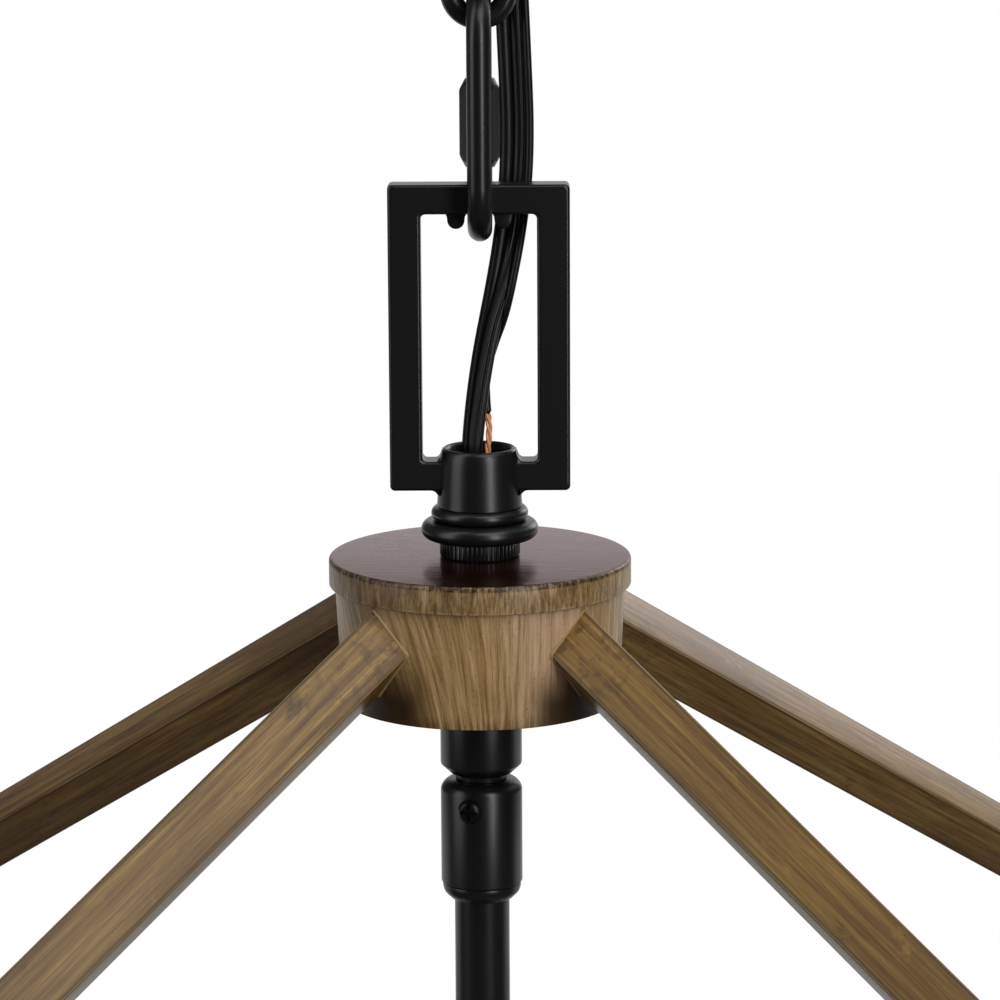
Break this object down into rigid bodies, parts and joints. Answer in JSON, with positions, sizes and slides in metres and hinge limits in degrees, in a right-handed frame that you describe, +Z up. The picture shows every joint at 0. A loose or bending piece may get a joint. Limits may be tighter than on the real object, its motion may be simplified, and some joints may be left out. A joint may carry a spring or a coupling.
{
  "type": "chandelier",
  "caption": "Square lantern chandelier: wood-grain painted steel frame and arms on a round hub, candle cluster on a swivel stem, hung from a ceiling canopy by a short chain with a quick link.",
  "frame": {"origin": "ceiling plane, on the axis of the chain, midway between the mounting bar's two slots", "axes": "+Z up out of the ceiling plane, +X to the right and -Y to the front of the pictured view; the mounting bar lies along X"},
  "size_m": [0.5206, 0.5206, 0.8023],
  "materials": {
    "zinc_steel": "zinc plated",
    "green_screw": "green passivated",
    "black_coat": "satin black powder coat",
    "black_screw": "black oxide",
    "wood_paint": "hand painted wood grain under satin lacquer",
    "lid_paint": "dark wood grain under gloss lacquer",
    "connector_plastic": "moulded",
    "bushing_plastic": "moulded",
    "cord_jacket": "soft PVC",
    "ground_jacket": "soft PVC over copper",
    "candle_cover": "satin black",
    "holder_plastic": "moulded",
    "bulb_glass": "clear"
  },
  "bodies": {
    "ceiling": {"mounting_bar": "zinc_steel", "canopy_nipple": "zinc_steel", "bar_lock_nuts": "zinc_steel", "ground_screw": "green_screw", "canopy_loop": "black_coat", "ceiling_wire_connectors": "connector_plastic", "power_cord": "cord_jacket", "ground_wire": "ground_jacket"},
    "canopy": {"canopy": "black_coat"},
    "collar": {"collar_ring": "black_coat"},
    "link_1": {"chain_link_1": "black_coat"},
    "link_2": {"chain_link_2": "black_coat"},
    "link_3": {"chain_link_3": "black_coat"},
    "quick_link": {"quick_link": "black_coat"},
    "quick_nut": {"quick_link_nut": "black_coat"},
    "lantern": {"hanger_loop": "black_coat", "cord_bushing": "bushing_plastic", "upper_nipple": "zinc_steel", "ribbed_collar": "black_coat", "hub_lid": "lid_paint", "hub_drum": "wood_paint", "hub_crossbar": "zinc_steel", "hub_lock_nuts": "zinc_steel", "hub_wire_connectors": "connector_plastic", "lower_nipple": "zinc_steel", "coupling_collar": "black_coat", "arm_front_left": "wood_paint", "arm_front_right": "wood_paint", "arm_back_left": "wood_paint", "arm_back_right": "wood_paint", "post_front_left": "wood_paint", "post_front_right": "wood_paint", "post_back_left": "wood_paint", "post_back_right": "wood_paint", "top_rails": "wood_paint", "bottom_rails": "wood_paint"},
    "cluster": {"coupling_sleeve": "black_coat", "stem_tube": "black_coat", "cluster_body": "black_coat", "cluster_finial": "black_coat", "candle_arm_1": "black_coat", "candle_arm_2": "black_coat", "candle_arm_3": "black_coat", "candle_arm_4": "black_coat", "drip_pan_1": "black_coat", "drip_pan_2": "black_coat", "drip_pan_3": "black_coat", "drip_pan_4": "black_coat", "candle_sleeve_1": "candle_cover", "candle_sleeve_2": "candle_cover", "candle_sleeve_3": "candle_cover", "candle_sleeve_4": "candle_cover", "lampholders": "holder_plastic"},
    "clamp_screw": {"coupling_screw": "black_screw"},
    "bulb_1": {"bulb_1": "bulb_glass"},
    "bulb_2": {"bulb_2": "bulb_glass"},
    "bulb_3": {"bulb_3": "bulb_glass"},
    "bulb_4": {"bulb_4": "bulb_glass"}
  },
  "joints": [
    {"name": "canopy_slide", "type": "slide", "parent": "ceiling", "child": "canopy", "axis": [0, 0, 1], "range_m": [-0.0105, 0]},
    {"name": "collar_turn", "type": "hinge", "parent": "canopy", "child": "collar", "pos_m": [0, 0, -0.0287], "axis": [0, 0, 1], "range_deg": [-2520, 0]},
    {"name": "link_1_swing", "type": "hinge", "parent": "ceiling", "child": "link_1", "pos_m": [0, 0, -0.064], "axis": [0, 1, 0], "range_deg": [-30, 30], "deforming": ["power_cord", "ground_wire"]},
    {"name": "link_2_swing", "type": "hinge", "parent": "link_1", "child": "link_2", "pos_m": [0, 0, -0.09], "axis": [1, 0, 0], "range_deg": [-30, 30], "deforming": ["power_cord", "ground_wire"]},
    {"name": "link_3_swing", "type": "hinge", "parent": "link_2", "child": "link_3", "pos_m": [0, 0, -0.1161], "axis": [0, -1, 0], "range_deg": [-30, 30], "deforming": ["power_cord", "ground_wire"]},
    {"name": "quick_link_swing", "type": "hinge", "parent": "link_3", "child": "quick_link", "pos_m": [0, 0, -0.1422], "axis": [-1, 0, 0], "range_deg": [-30, 30], "deforming": ["power_cord", "ground_wire"]},
    {"name": "quick_nut_travel", "type": "slide", "parent": "quick_link", "child": "quick_nut", "axis": [0, 0, 1], "range_m": [0, 0.009], "deforming": ["power_cord", "ground_wire"]},
    {"name": "lantern_swing", "type": "hinge", "parent": "quick_link", "child": "lantern", "pos_m": [0.0005, 0, -0.18925], "axis": [0, 1, 0], "range_deg": [-30, 30], "deforming": ["power_cord", "ground_wire"]},
    {"name": "cluster_turn", "type": "hinge", "parent": "lantern", "child": "cluster", "pos_m": [0, 0, -0.31677], "axis": [0, 0, 1], "range_deg": [-170, 170]},
    {"name": "clamp_screw_turn", "type": "hinge", "parent": "cluster", "child": "clamp_screw", "pos_m": [-0.0025, -0.00871, -0.32237], "axis": [-0.2756, -0.9613, 0], "range_deg": [0, 720]},
    {"name": "bulb_1_turn", "type": "hinge", "parent": "cluster", "child": "bulb_1", "pos_m": [0.07425, 0.07425, -0.59701], "axis": [0, 0, 1], "range_deg": [0, 1080]},
    {"name": "bulb_2_turn", "type": "hinge", "parent": "cluster", "child": "bulb_2", "pos_m": [-0.07425, 0.07425, -0.59701], "axis": [0, 0, 1], "range_deg": [0, 1080]},
    {"name": "bulb_3_turn", "type": "hinge", "parent": "cluster", "child": "bulb_3", "pos_m": [-0.07425, -0.07425, -0.59701], "axis": [0, 0, 1], "range_deg": [0, 1080]},
    {"name": "bulb_4_turn", "type": "hinge", "parent": "cluster", "child": "bulb_4", "pos_m": [0.07425, -0.07425, -0.59701], "axis": [0, 0, 1], "range_deg": [0, 1080]}
  ],
  "couplings": [
    {"joint": "collar_turn", "follows": "canopy_slide", "rad_per_m": 4188.8}
  ]
}
